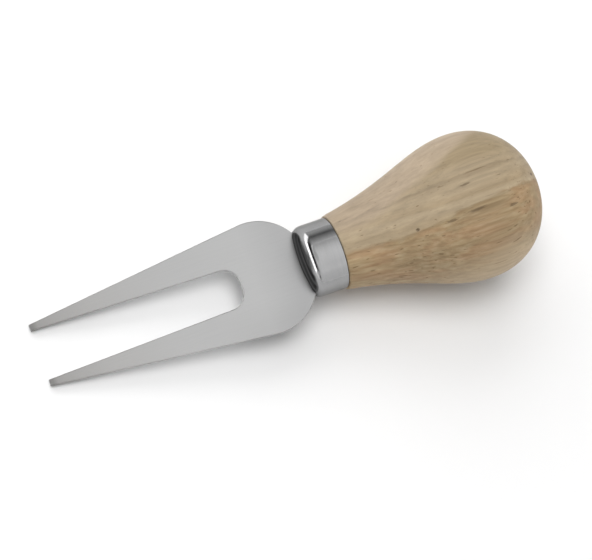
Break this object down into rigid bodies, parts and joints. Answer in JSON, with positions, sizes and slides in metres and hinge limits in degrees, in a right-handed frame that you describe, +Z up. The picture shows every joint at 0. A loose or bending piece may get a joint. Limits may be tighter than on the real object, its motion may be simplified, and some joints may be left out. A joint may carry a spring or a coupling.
{
  "type": "cheese fork",
  "caption": "Small cheese fork: flat steel blade with long tapering tines and a deep slot, short steel ferrule and a turned wooden bulb handle, lying as on a table.",
  "frame": {"origin": "middle of the bottom of the fork's bounding box, on the surface it lies on", "axes": "+X along the fork from the tine tips to the end of the handle, +Y across the blade, +Z up; the fork lies on its tine tips and its bulb"},
  "size_m": [0.1134, 0.0326, 0.0328],
  "materials": {
    "blade_steel": "fine satin",
    "ferrule_steel": "polished",
    "handle_wood": "sanded, thin matt oil",
    "resin": "cast"
  },
  "bodies": {
    "root": {"fork_blade": "blade_steel", "ferrule": "ferrule_steel", "handle": "handle_wood", "tang_adhesive": "resin"}
  },
  "joints": []
}
